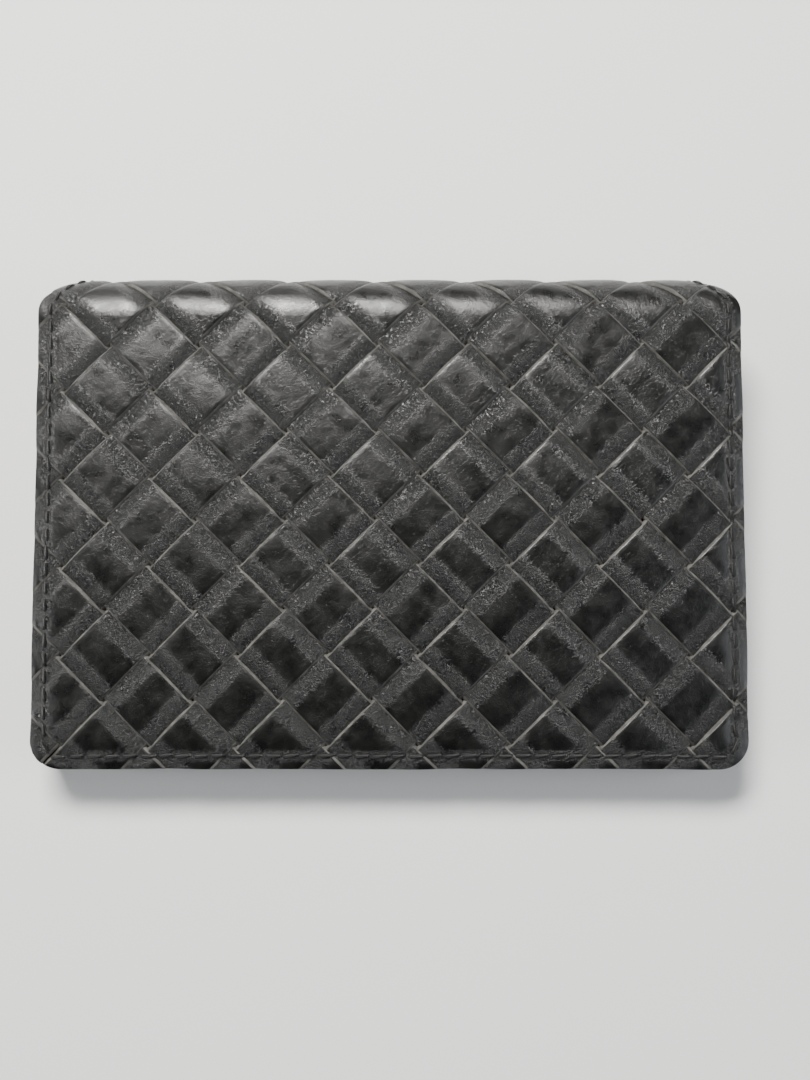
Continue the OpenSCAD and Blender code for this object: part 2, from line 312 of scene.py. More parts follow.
class Nodes:
    """Short names for building a node tree."""

    def __init__(self, name):
        self.material = bpy.data.materials.new(name)
        self.material.use_nodes = True
        self.tree = self.material.node_tree
        self.tree.nodes.clear()
        self.out = self.tree.nodes.new("ShaderNodeOutputMaterial")
        self.shader = self.tree.nodes.new("ShaderNodeBsdfPrincipled")
        self.tree.links.new(self.shader.outputs[0], self.out.inputs[0])

    def node(self, kind, **inputs):
        n = self.tree.nodes.new("ShaderNode" + kind)
        for key, value in inputs.items():
            key = key.replace("_", " ")
            if key in n.inputs:
                self.put(n.inputs[key], value)
            else:
                setattr(n, key.replace(" ", "_"), value)
        return n

    def put(self, socket, value):
        if isinstance(value, bpy.types.NodeSocket):
            self.tree.links.new(value, socket)
        else:
            socket.default_value = value

    def mm(self):
        """The texture coordinates in millimetres along the leather."""
        n = self.tree.nodes.new("ShaderNodeUVMap")
        n.uv_map = "mm"
        return n.outputs[0]

    def bend_map(self):
        n = self.tree.nodes.new("ShaderNodeUVMap")
        n.uv_map = "bend"
        return n.outputs[0]

    def scaled(self, vector, x, y, z=1.0):
        n = self.node("Mapping", Vector=vector)
        n.inputs["Scale"].default_value = (x, y, z)
        return n.outputs[0]

    def noise(self, vector, scale, detail=3, rough=0.55, warp=0.0):
        n = self.node("TexNoise", Vector=vector, Scale=scale, Detail=detail, Roughness=rough,
                      Distortion=warp)
        return n.outputs["Fac"]

    def cells(self, vector, scale, feature="F1", random=1.0):
        n = self.tree.nodes.new("ShaderNodeTexVoronoi")
        n.feature = feature
        self.put(n.inputs["Vector"], vector)
        n.inputs["Scale"].default_value = scale
        n.inputs["Randomness"].default_value = random
        return n.outputs["Distance"]

    def math(self, op, a, b=0.0, c=0.0):
        n = self.tree.nodes.new("ShaderNodeMath")
        n.operation = op
        for s, v in zip(n.inputs, (a, b, c)):
            self.put(s, v)
        return n.outputs[0]

    def ramp(self, fac, lo, hi, a=0.0, b=1.0):
        n = self.tree.nodes.new("ShaderNodeMapRange")
        n.interpolation_type = "SMOOTHSTEP"
        for s, v in zip(n.inputs, (fac, lo, hi, a, b)):
            self.put(s, v)
        return n.outputs[0]

    def mix(self, fac, a, b):
        n = self.tree.nodes.new("ShaderNodeMix")
        n.data_type = "RGBA"
        self.put(n.inputs["Factor"], fac)
        for s, v in (("A", a), ("B", b)):
            socket = [i for i in n.inputs if i.name == s and i.type == "RGBA"][0]
            self.put(socket, v)
        return [o for o in n.outputs if o.type == "RGBA"][0]

    def bump(self, height, distance, strength=1.0, normal=None):
        n = self.node("Bump", Height=height, Strength=strength, Distance=distance * MM)
        if normal is not None:
            self.put(n.inputs["Normal"], normal)
        return n.outputs[0]

    def set(self, **inputs):
        for key, value in inputs.items():
            self.put(self.shader.inputs[key.replace("_", " ")], value)
        return self.material


def leather(name, dark, light, rough, grain, wrinkle, specular=0.5):
    """Smooth finished leather. Its fine grain opens into wrinkles where the leather is bent, which
    the second value layer holds: 1 at a sharp bend, 0 where it lies flat."""
    n = Nodes(name)
    uv = n.mm()
    bend = n.node("SeparateXYZ", Vector=n.bend_map()).outputs[0]
    bent = n.ramp(bend, 0.15, 0.95)
    add = n.node("VectorMath", operation="ADD")
    n.put(add.inputs[0], uv)
    small = n.node("VectorMath", operation="SCALE")
    n.put(small.inputs[0], n.node("TexNoise", Vector=uv, Scale=1.6, Detail=2).outputs["Color"])
    small.inputs["Scale"].default_value = 0.5
    n.put(add.inputs[1], small.outputs[0])
    warped = add.outputs[0]
    pebble = n.ramp(n.cells(warped, 3.1, "DISTANCE_TO_EDGE"), 0.0, 0.22)
    fine = n.noise(uv, 5.5, 3, 0.65)
    crease = n.noise(n.scaled(warped, 0.55, 1.0), 2.2, 4, 0.6, 0.5)
    fold = n.ramp(n.math("ABSOLUTE", n.math("SUBTRACT", crease, 0.5)), 0.0, 0.11)
    patch = n.noise(uv, 0.35, 3)
    much = n.math("MULTIPLY_ADD", n.ramp(patch, 0.35, 0.65), 0.55, 0.45)
    gain = n.math("MULTIPLY", much, n.math("MULTIPLY_ADD", bent, 1.7, 0.34))
    low = n.math("MULTIPLY_ADD", pebble, 0.55, n.math("MULTIPLY", fine, 0.55))
    normal = n.bump(n.math("MULTIPLY", low, n.math("MULTIPLY", gain, grain)), 0.055)
    deep = n.math("MULTIPLY", fold, n.math("MULTIPLY_ADD", bent, 1.0, 0.08))
    normal = n.bump(n.math("MULTIPLY", deep, wrinkle), 0.09, 1.0, normal)
    normal = n.bump(n.noise(uv, 0.22, 2, 0.5, 0.3), 0.30, 0.35, normal)
    tone = n.mix(n.ramp(patch, 0.3, 0.7), dark, light)
    rubbed = n.ramp(n.noise(n.scaled(uv, 1.0, 0.22), 1.3, 6, 0.72), 0.60, 0.78)
    rubbed = n.math("MULTIPLY", rubbed, n.math("MULTIPLY_ADD", bent, 0.7, 0.10))
    colour = n.mix(rubbed, tone, (0.022, 0.021, 0.019, 1))
    wave = n.math("MULTIPLY_ADD", n.ramp(patch, 0.3, 0.7), 0.09, rough - 0.05)
    roughness = n.math("ADD", wave, n.math("MULTIPLY", fine, 0.10))
    n.shader.inputs["Specular IOR Level"].default_value = specular
    return n.set(Base_Color=colour, Roughness=roughness, Normal=normal)


def cut_edge(name):
    """The raw cut side of a leather strip: fibrous, greyer and dull."""
    n = Nodes(name)
    uv = n.mm()
    fibre = n.noise(n.scaled(uv, 2.0, 7.0), 3.0, 4, 0.7)
    worn = n.ramp(n.noise(uv, 0.5, 3), 0.4, 0.65)
    colour = n.mix(fibre, (0.03, 0.029, 0.026, 1), (0.17, 0.163, 0.147, 1))
    colour = n.mix(n.math("MULTIPLY_ADD", worn, 0.6, 0.4), (0.012, 0.0115, 0.010, 1), colour)
    return n.set(Base_Color=colour, Roughness=0.6, Normal=n.bump(fibre, 0.10))


def painted_edge(name):
    """Edge paint: smooth, rubbery and a little uneven."""
    n = Nodes(name)
    uv = n.mm()
    lumps = n.noise(n.scaled(uv, 1.0, 1.6), 0.8, 3)
    fine = n.noise(uv, 7.0, 3)
    colour = n.mix(lumps, (0.0022, 0.0022, 0.0022, 1), (0.0055, 0.0052, 0.0050, 1))
    rough = n.math("MULTIPLY_ADD", fine, 0.12, 0.34)
    normal = n.bump(fine, 0.02, 0.7, n.bump(lumps, 0.25, 0.8))
    return n.set(Base_Color=colour, Roughness=rough, Normal=normal)


def thread_look(name):
    """Waxed twisted thread."""
    n = Nodes(name)
    uv = n.mm()
    wave = n.tree.nodes.new("ShaderNodeTexWave")
    wave.wave_type, wave.bands_direction = "BANDS", "DIAGONAL"
    n.put(wave.inputs["Vector"], uv)
    wave.inputs["Scale"].default_value = 1.6
    wave.inputs["Distortion"].default_value = 0.5
    fuzz = n.noise(uv, 8.0, 3)
    colour = n.mix(wave.outputs["Fac"], (0.0025, 0.0025, 0.0025, 1), (0.012, 0.0115, 0.011, 1))
    rough = n.math("MULTIPLY_ADD", fuzz, 0.15, 0.36)
    return n.set(Base_Color=colour, Roughness=rough,
                 Normal=n.bump(fuzz, 0.02, 0.6, n.bump(wave.outputs["Fac"], 0.07)))


def backing_look(name):
    """Felted backing sheet, seen only through the gaps of the weave."""
    n = Nodes(name)
    uv = n.mm()
    fuzz = n.noise(uv, 3.0, 5, 0.7)
    colour = n.mix(fuzz, (0.002, 0.002, 0.002, 1), (0.006, 0.0056, 0.0052, 1))
    return n.set(Base_Color=colour, Roughness=0.9, Normal=n.bump(fuzz, 0.1))


def floor_look(name):
    n = Nodes(name)
    coord = n.node("TexCoord").outputs["Object"]
    cloud = n.noise(coord, 3.0, 3)
    colour = n.mix(cloud, (0.74, 0.74, 0.735, 1), (0.79, 0.79, 0.785, 1))
    return n.set(Base_Color=colour, Roughness=0.7)


NAPPA = leather("nappa_strips", (0.0016, 0.0016, 0.0014, 1), (0.0032, 0.0031, 0.0027, 1), 0.27, 0.8, 0.9, 0.6)
RAW = cut_edge("cut_strip_edge")
PAINT = painted_edge("edge_paint")
THREAD = thread_look("waxed_thread")
BACKING = backing_look("backing_sheet")
LINING = leather("lining_leather", (0.0036, 0.0034, 0.0032, 1), (0.0065, 0.0062, 0.0058, 1), 0.42, 0.8, 0.4)
POCKET = leather("pocket_leather", (0.0030, 0.0029, 0.0027, 1), (0.0055, 0.0053, 0.0049, 1), 0.36, 0.8, 0.6)


# ---- The weave ---------------------------------------------------------------

def strip_height(t, c, width, parity, edge, t0, puff=None):
    """Height of a strip's outer face and how sharply it bends. t runs along it and c across it;
    edge is the distance to the cover's outline. The strip is on top where its crossing number
    plus parity is even. puff holds three irregularities per crossing."""
    k = (t - t0) / PITCH
    x = np.cos(np.pi * (k + parity))
    shape = x * (1.7 - x * x + 0.3 * x ** 4)
    press = smooth(edge, 0.3, 4.6)
    wave = WAVE * (0.42 + 0.58 * press)
    mean = -WAVE - 0.17 * (1 - press)
    top_half = width / 2 - BEVEL
    e = np.clip(np.abs(c) / top_half, 0, 1)
    crown = -0.07 * e ** 2.5 - 0.05 * smooth(e, 0.93, 1.0)
    cut = -0.50 * np.clip((np.abs(c) - top_half) / BEVEL, 0, 1) * (0.35 + 0.65 * press)
    seam = -0.10 * np.exp(-((edge - SEAM_IN) / 0.6) ** 2)
    rim = -0.20 * np.exp(-(edge / 0.40) ** 2)
    h = mean + wave * shape + crown * (0.4 + 0.6 * press) + cut + seam + rim
    if puff is not None:
        i = np.clip(np.round(k).astype(int) - puff[0], 0, len(puff[1]) - 1)
        p = puff[1][i]
        on = np.maximum(x, 0) ** 2 * press
        h = h + on * (p[:, 0] + p[:, 1] * (k - np.round(k)) + p[:, 2] * c / width)
    return h, (1 - x * x) ** 1.5


def seam_wrinkle(edge):
    """How much the leather puckers beside the seam."""
    return 0.8 * np.exp(-((edge - SEAM_IN) / 0.9) ** 2)


def surface(u, v):
    """Height of the upper strip of the weave at a place on the cover."""
    u, v = np.asarray(u, float), np.asarray(v, float)
    du, dv = lean(u, v)
    a, b = u - du, v - dv
    c, s = (a + b) / math.sqrt(2), (a - b) / math.sqrt(2)
    edge = -outline(u, v)
    i, j = np.round((c - LAT_C) / PITCH), np.round((s - LAT_S) / PITCH)
    fall = strip_height(s, c - LAT_C - PITCH * i, STRIP_W, i % 2, edge, LAT_S)[0]
    rise = strip_height(c, s - LAT_S - PITCH * j, STRIP_W, (j + 1) % 2, edge, LAT_C)[0]
    return np.maximum(fall, rise)


def lean(u, v):
    """Slow drift of the hand-made weave away from a perfect lattice."""
    du = 0.35 * np.sin(v / 41.0 + 0.4) * np.cos(u / 58.0) + 0.22 * np.sin(u / 17.0 + v / 29.0)
    dv = 0.30 * np.sin(u / 33.0 + 1.1) + 0.20 * np.cos(v / 15.0 - u / 37.0)
    return du, dv


def strip_flat(falling, m, stray, width):
    """The flat mesh of one strip over the whole unfolded cover: u, v, t, c per point."""
    across = (LAT_C if falling else LAT_S) + PITCH * m + stray
    q = math.sqrt(2)
    if falling:
        lo = max(-HALF_W * q - across, across - V_END * q)
        hi = min(HALF_W * q - across, across - V_OPEN * q)
    else:
        lo = max(-HALF_W * q - across, V_OPEN * q + across)
        hi = min(HALF_W * q - across, V_END * q + across)
    if hi - lo < 3:
        return None
    t = np.arange(lo - 1.5 * PITCH, hi + 1.5 * PITCH, 0.42)
    w = width / 2
    half = np.array([w, w - BEVEL * 0.5, w - BEVEL, w - BEVEL - 0.12, w - BEVEL - 0.4, w * 0.78,
                     w * 0.55, w * 0.30, w * 0.1])
    c = np.concatenate([-half, half[::-1]])
    flat = Flat.grid(t, c)
    tt, cc = flat.data[:, 0], flat.data[:, 1]
    side = across + cc
    if falling:
        u, v = (side + tt) / q, (side - tt) / q
    else:
        u, v = (tt + side) / q, (tt - side) / q
    du, dv = lean(u, v)
    flat.data = np.column_stack([u + du, v + dv, tt, cc])
    return flat


def weave():
    """All strips, cut at the outline and at the fold zones."""
    spans = [(None, ZONES[0]), *zip(ZONES[:-1], ZONES[1:]), (ZONES[-1], None)]
    builders = {}
    for falling in (False, True):
        lo = (-HALF_W + V_OPEN) if falling else (-HALF_W - V_END)
        hi = (HALF_W + V_END) if falling else (HALF_W - V_OPEN)
        base = LAT_C if falling else LAT_S
        first = math.floor((lo / math.sqrt(2) - base) / PITCH)
        last = math.ceil((hi / math.sqrt(2) - base) / PITCH)
        for m in range(first, last + 1):
            stray, width = rng.normal(0, 0.07), STRIP_W + rng.normal(0, 0.10)
            shift = rng.uniform(-400, 400, 2)
            puff = (-40, rng.normal(0, 1, (80, 3)) * (0.035, 0.10, 0.12))
            flat = strip_flat(falling, m, stray, width)
            if flat is None:
                continue
            flat = flat.keep(outline(flat.data[:, 0], flat.data[:, 1]))
            parity = (m + (0 if falling else 1)) % 2
            t0 = LAT_S if falling else LAT_C
            for i, (a, b) in enumerate(spans):
                part = flat
                if a is not None and part.faces:
                    part = part.keep(a - part.data[:, 1])
                if b is not None and part.faces:
                    part = part.keep(part.data[:, 1] - b)
                if not part.faces:
                    continue
                u, v, t, c = part.data.T
                edge = -outline(u, v)
                top, dive = strip_height(t, c, width, parity, edge, t0, puff)
                half = width / 2
                bevel = half - BEVEL + 0.01
                marks = [int(min(abs(c[k]) for k in f) > bevel - 0.02) for f in part.faces]

                def wall(p, q, half=half):
                    if abs(p[3]) > half - 0.01 and abs(q[3]) > half - 0.01:
                        return 1
                    if outline(p[0], p[1]) > -0.02 and outline(q[0], q[1]) > -0.02:
                        return 2
                    return None

                key = (i, falling if i in (0, 5) else None)
                slab(builders.setdefault(key, Builder()), part,
                     lambda d, h: wrap(d[:, 0], d[:, 1], h), top, top - STRIP_T,
                     np.column_stack([t, c]) + shift, wall, marks, not falling,
                     np.column_stack([np.maximum(dive, seam_wrinkle(edge)), edge]))
    return builders


def zone_points(i, depth):
    """Start and end of fold zone i in metres, at a depth under the outer surface."""
    return [tuple((wrap(0, ZONES[k], -depth) * MM).tolist()) for k in (i, i + 1)]


def bend(obj, i, depth):
    """Bakes obj's placement into its mesh. The start and end of fold zone i at this depth are worked out but not
    used.
    """
    start, end = zone_points(i, depth)
    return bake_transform(obj)


def make_weave():
    nodes = {(0, False): ("front_cover", "front_rising_strips"),
             (0, True): ("front_cover", "front_falling_strips"),
             (5, False): ("back_cover", "back_rising_strips"),
             (5, True): ("back_cover", "back_falling_strips")}
    covered = [["fold_weave_front", "fold_weave_3"], ["fold_weave_2"], ["fold_weave_1"], ["fold_weave_back"]]
    for key, builder in weave().items():
        if key in nodes:
            body, node = nodes[key]
            obj = builder.build(node + "_look", [NAPPA, RAW, PAINT])
            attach(obj, body)
            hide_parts(node)
        else:
            zone = key[0] - 1
            obj = builder.build(f"fold_strips_{zone + 1}_look", [NAPPA, RAW, PAINT])
            bend(obj, zone, 0.4)
            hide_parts(*covered[zone])


# ---- Backing, lining and painted edge of the covers --------------------------

def inner_height(v):
    """Depth of the lining's inner face: thinner in the fold, where there is no backing."""
    d = np.abs(np.asarray(v, float) - V_MID) - (V_BACK - V_TAN) / 2
    return FOLD_LINING_H + (PANEL_T - FOLD_LINING_H) * smooth(d, -3, 0)


def cover_lines(inset, step):
    """Grid lines over the unfolded cover, closer together near its edges."""
    near = [0.0, 0.15, 0.35, 0.7, 1.2, 2.0, 3.0, 4.5]
    u = np.concatenate([[-HALF_W + x for x in near],
                        np.arange(-HALF_W + 6, HALF_W - 5.9, step), [HALF_W - x for x in near[::-1]]])
    return u


def v_lines(a, b, step):
    near = [0.0, 0.15, 0.35, 0.7, 1.2, 2.0, 3.0, 4.5]
    n = max(2, int((b - a - 12) / step))
    return np.unique(np.round(np.concatenate([[a + x for x in near], np.linspace(a + 6, b - 6, n),
                                              [b - x for x in near], ZONES]), 4))


def cover_sheet(name, top_of, bottom_of, inset, material, zone_node, front_node, back_node):
    """A sheet over both covers and the fold between two depths, in six pieces."""
    us, vs = cover_lines(inset, 2.0), v_lines(V_OPEN, V_END, 1.6)
    vs = np.unique(np.concatenate([vs, np.linspace(V_TAN, V_BACK, 33)]))
    whole = Flat.grid(us, vs)
    whole = whole.keep(outline(whole.data[:, 0], whole.data[:, 1], inset))
    spans = [(None, ZONES[0]), *zip(ZONES[:-1], ZONES[1:]), (ZONES[-1], None)]
    made = []
    for i, (a, b) in enumerate(spans):
        part = whole
        if a is not None:
            part = part.keep(a - part.data[:, 1])
        if b is not None:
            part = part.keep(part.data[:, 1] - b)
        u, v = part.data.T
        edge = -outline(u, v, inset)
        roll = 0.25 * (1 - smooth(edge, 0, 0.5))

        def wall(p, q):
            on = outline(p[0], p[1], inset) > -0.02 and outline(q[0], q[1], inset) > -0.02
            return 0 if on else None

        b_ = Builder()
        slab(b_, part, lambda d, h: wrap(d[:, 0], d[:, 1], h), -top_of(v), -(bottom_of(v) - roll),
             np.column_stack([u, v]), wall)
        obj = b_.build(f"{name}_{i}", [material])
        if i == 0:
            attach(obj, "front_cover")
            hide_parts(front_node)
        elif i == 5:
            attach(obj, "back_cover")
            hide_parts(back_node)
        else:
            bend(obj, i - 1, float(bottom_of(V_MID)) - 0.3)
            if zone_node:
                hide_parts(*zone_node[i - 1])
        made.append(obj)
    return made


def make_sheets():
    cover_sheet("backing_look", lambda v: BACKING_H + 0 * v, lambda v: np.maximum(inner_height(v) - 0.68, BACKING_H + 0.08), 0.25,
                BACKING, None, "front_backing", "back_backing")
    cover_sheet("lining_look", lambda v: np.maximum(inner_height(v) - 0.7, BACKING_H + 0.1),
                inner_height, 0.12, LINING,
                [["fold_lining_front", "fold_lining_3"], ["fold_lining_2"], ["fold_lining_1"],
                 ["fold_lining_back"]], "front_lining", "back_lining")


def outline_path(inset, step):
    """Points (u, v) along the right half of the outline, from open edge to open edge."""
    pts = []
    r = EDGE_R
    hw = HALF_W
    for u in np.arange(0, hw - r, step):
        pts.append((u, V_OPEN))
    for a in np.linspace(-90, 0, 12):
        pts.append((hw - r + r * math.cos(math.radians(a)), V_OPEN + r + r * math.sin(math.radians(a))))
    for v in np.arange(V_OPEN + r + step, V_END - r, step):
        pts.append((float(half_width(v)), v))
    for a in np.linspace(0, 90, 12):
        pts.append((hw - r + r * math.cos(math.radians(a)), V_END - r + r * math.sin(math.radians(a))))
    for u in np.arange(hw - r - step, -step, -step):
        pts.append((max(u, 0.0), V_END))
    return np.array(pts)


def settle(points, level):
    """Moves points (u, v) onto the line where outline() equals level."""
    p = points.copy()
    for _ in range(6):
        f = outline(p[:, 0], p[:, 1]) - level
        e = 0.01
        g = np.column_stack([(outline(p[:, 0] + e, p[:, 1]) - outline(p[:, 0] - e, p[:, 1])) / (2 * e),
                             (outline(p[:, 0], p[:, 1] + e) - outline(p[:, 0], p[:, 1] - e)) / (2 * e)])
        g /= np.maximum((g ** 2).sum(1, keepdims=True), 1e-6)
        p -= f[:, None] * g
    e = 0.01
    g = np.column_stack([(outline(p[:, 0] + e, p[:, 1]) - outline(p[:, 0] - e, p[:, 1])) / (2 * e),
                         (outline(p[:, 0], p[:, 1] + e) - outline(p[:, 0], p[:, 1] - e)) / (2 * e)])
    g /= np.linalg.norm(g, axis=1, keepdims=True)
    return p, g


def make_edges():
    """The painted edge: a rounded band round both covers that follows the layers' ends."""
    path, normal = settle(outline_path(0, 0.6), 0.0)
    builders = [Builder() for _ in range(6)]
    bounds = [-1e9, *ZONES, 1e9]
    length = np.concatenate([[0], np.cumsum(np.linalg.norm(np.diff(path, axis=0), axis=1))])
    for side in (1, -1):
        ring = []
        steps = np.linspace(0, math.pi, 9)
        top = -0.78 - 0.10 * wobble(length, 11 + side, 5.0)
        low = -(inner_height(path[:, 1]) + 0.02)
        mid, half = (top + low) / 2, (top - low) / 2
        for a in steps:
            out = 0.16 * math.sin(a) ** 0.7 - 0.14
            uv2 = path + normal * out
            h = mid + half * math.cos(a)
            ring.append(np.column_stack([uv2, h]))
        ring = np.stack(ring, 1)
        ring[..., 0] *= side
        for z in range(6):
            a, b = bounds[z], bounds[z + 1]
            idx = [k for k in range(len(path)) if a - 0.61 <= path[k, 1] <= b + 0.61]
            if len(idx) < 2:
                continue
            runs, run = [], [idx[0]]
            for k in idx[1:]:
                if k == run[-1] + 1:
                    run.append(k)
                else:
                    runs.append(run)
                    run = [k]
            runs.append(run)
            for run in runs:
                rr = ring[run].copy()
                rr[..., 1] = np.clip(rr[..., 1], a, b)
                pts = wrap(rr[..., 0], rr[..., 1], rr[..., 2]).reshape(-1, 3)
                uvs = np.stack([np.broadcast_to(length[run][:, None], rr.shape[:2]),
                                np.broadcast_to(steps[None, :], rr.shape[:2])], -1).reshape(-1, 2)
                n = len(steps)
                faces = []
                for i in range(len(run) - 1):
                    for j in range(n - 1):
                        k = i * n + j
                        q = (k, k + n, k + n + 1, k + 1)
                        faces.append(q if side > 0 else q[::-1])
                builders[z].add(pts, uvs, faces)
    for z, builder in enumerate(builders):
        obj = builder.build(f"edge_paint_{z}", [PAINT])
        if z == 0:
            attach(obj, "front_cover")
        elif z == 5:
            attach(obj, "back_cover")
        else:
            bend(obj, z - 1, 1.2)


# ---- Stitches ----------------------------------------------------------------

def stitch(builder, place, centre, along, length, depth_of, tilt, radius=THREAD_R):
    """One stitch: a short thread that rises out of the leather and dives in again."""
    n, ring = 9, 7
    s = np.linspace(-0.5, 0.5, n) * length
    c, d = math.cos(tilt), math.sin(tilt)
    ax = np.array([along[0] * c - along[1] * d, along[0] * d + along[1] * c])
    nx = np.array([-ax[1], ax[0]])
    x = np.abs(s) / (length / 2)
    lift = radius * 0.45 - 0.50 * x ** 3
    rad = radius * (1.0 - 0.12 * x ** 2)
    pts, uvs, faces = [], [], []
    for i in range(n):
        base = centre + ax * s[i]
        for k in range(ring):
            a = 2 * math.pi * k / ring
            p = base + nx * math.cos(a) * rad[i]
            pts.append((p[0], p[1], lift[i] + math.sin(a) * rad[i] * 0.85))
            uvs.append((s[i] + centre[0] * 3.1 + centre[1] * 1.7, k / ring * 1.6))
    for i in range(n - 1):
        for k in range(ring):
            m = (k + 1) % ring
            faces.append((i * ring + k, (i + 1) * ring + k, (i + 1) * ring + m, i * ring + m))
    pts = np.array(pts)
    builder.add(place(pts[:, 0], pts[:, 1], depth_of(pts[:, 0], pts[:, 1]) + pts[:, 2]), uvs, faces)


def seam_points(inset, pitch):
    """Evenly spaced places on the seam line, with its direction."""
    path, normal = settle(outline_path(0, 0.5), -inset)
    seg = np.linalg.norm(np.diff(path, axis=0), axis=1)
    length = np.concatenate([[0], np.cumsum(seg)])
    n = int(length[-1] / pitch)
    at = (np.arange(n) + 0.5) * length[-1] / n
    p = np.column_stack([np.interp(at, length, path[:, k]) for k in (0, 1)])
    g = np.column_stack([np.interp(at, length, normal[:, k]) for k in (0, 1)])
    g /= np.linalg.norm(g, axis=1, keepdims=True)
    return p, np.column_stack([-g[:, 1], g[:, 0]])


def make_seams():
    places, along = seam_points(SEAM_IN, STITCH_PITCH)
    bounds = [-1e9, *ZONES, 1e9]
    outer = [Builder() for _ in range(6)]
    inner = [Builder() for _ in range(6)]
    for side in (1, -1):
        for p, d in zip(places, along):
            z = next(i for i in range(6) if bounds[i] <= p[1] < bounds[i + 1])
            centre = np.array([p[0] * side, p[1]])
            way = np.array([d[0] * side, d[1]])
            tilt = math.radians(7 + rng.normal(0, 2.5))
            stitch(outer[z], wrap, centre + rng.normal(0, 0.04, 2), way, 2.62 + rng.normal(0, 0.06),
                   surface, tilt)
            slip = p[1] < V_OPEN + SLIP_DEPTH
            hem = p[1] > V_END - 2.9 and p[0] < POCKET_HW - 0.5
            flange = not hem and V_END - 60 < p[1] < V_END - 8
            deep = -(float(inner_height(p[1])) + (POCKET_T if slip else 1.30 if hem else
                                                  0.42 if flange else 0))
            stitch(inner[z], lambda u, v, h: wrap(u, v, 2 * deep - h), centre, way,
                   2.15 + rng.normal(0, 0.05), lambda u, v: deep + 0 * u, -tilt)
    for z in range(6):
        for part, name, depth in ((outer[z], "outer_seam", 0.5), (inner[z], "inner_seam", 2.4)):
            obj = part.build(f"{name}_{z}", [THREAD])
            if z == 0:
                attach(obj, "front_cover")
                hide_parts("front_outer_stitches" if name == "outer_seam" else "front_inner_stitches")
            elif z == 5:
                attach(obj, "back_cover")
                if name == "outer_seam":
                    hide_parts("back_outer_stitches")
            else:
                bend(obj, z - 1, depth)


# ---- Inside: slip pocket, card pocket and gussets -----------------------------

def scoop(u, r, mouth):
    """Negative inside a sheet whose mouth has a shallow thumb scoop."""
    return np.maximum(r - mouth, 25.0 - np.hypot(u, r - mouth - 21.0) + 0.35)


def fine_lines(a, b, step, fine_ends=(True, True)):
    """Coordinates from a to b, closer together near the ends."""
    near = [0.12, 0.3, 0.6, 1.0, 1.6, 2.4]
    out = list(np.linspace(a + 3.4, b - 3.4, max(2, int((b - a - 6.8) / step))))
    out += [a + x for x in near] + [b - x for x in near] if fine_ends[0] else [b - x for x in near]
    return np.unique(np.round([a, b] + out, 4))


def panel(name, place, limit, us, rs, top, bottom, body, nodes, material=None, scale=1.0):
    """One stiff leather panel: cut to limit(u, r), between heights top and bottom, with softly
    rounded edges."""
    flat = Flat.grid(us, rs)
    flat = flat.keep(limit(flat.data[:, 0], flat.data[:, 1]))
    u, r = flat.data.T
    d = -limit(u, r)
    roll = 0.16 * (1 - smooth(d, 0, 0.45))
    hem = 0.07 * smooth(d, 0.0, 0.6) * (1 - smooth(d, 3.2, 4.2))
    sag = 0.05 * wobble(u, 21, 9.0) * wobble(r, 22, 8.0) * smooth(d, 1, 6)
    out = Builder()
    slab(out, flat, lambda p, h: place(p[:, 0], p[:, 1], h), top - roll + hem + sag, bottom + roll,
         np.column_stack([u, r]) * scale, lambda p, q: 1, 0, False,
         np.column_stack([0.55 * (1 - smooth(d, 0.6, 2.2)) + 0.25 * smooth(hem, 0.02, 0.07), d]))
    obj = out.build(name, [material or POCKET, PAINT])
    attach(obj, body)
    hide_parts(*nodes)
    return obj


def make_slip_pocket():
    """Flat sleeve on the inside of the front cover, sewn in with the cover's seam."""
    mouth = V_OPEN + SLIP_DEPTH

    def limit(u, v):
        return np.maximum(outline(u, v, 0.15), scoop(u, v, mouth))

    us = np.unique(np.concatenate([cover_lines(0, 1.5)]))
    vs = fine_lines(V_OPEN, mouth, 1.5)
    panel("front_slip_pocket_look", lambda u, v, h: wrap(u, v, -h), limit, us, vs,
          PANEL_T + POCKET_T, PANEL_T + 0.02, "front_cover", ["front_slip_pocket"])


def make_card_pocket():
    """Lining, outer leather and card slot panel of the pocket front, as three glued sheets."""
    start = 5.0

    def limit(length):
        def f(u, r):
            side = np.abs(u) - POCKET_HW + 0.05 * wobble(r, 31, 6.0)
            return np.maximum(np.maximum(side, scoop(u, r, length)), start - r)
        return f

    us = np.unique(np.concatenate([fine_lines(-POCKET_HW - 0.3, POCKET_HW + 0.3, 1.5),
                                   np.linspace(-16, 16, 45)]))
    rs = fine_lines(start - 0.5, POCKET_LEN - 0.2, 1.5)
    body = "pocket_front_panel"
    panel("pocket_lining_look", on_pocket, limit(POCKET_LEN - 0.35), us, rs, 0.94, 0.25, body,
          ["pocket_front_lining"], LINING)
    panel("pocket_front_look", on_pocket, limit(POCKET_LEN - 0.2), us, rs, 1.64, 0.96, body,
          ["pocket_front"])
    rs = fine_lines(start - 0.5, SLOT_LEN, 1.5)
    panel("card_slot_look", on_pocket, limit(SLOT_LEN), us, rs, 2.33, 1.66, body,
          ["card_slot_panel"])


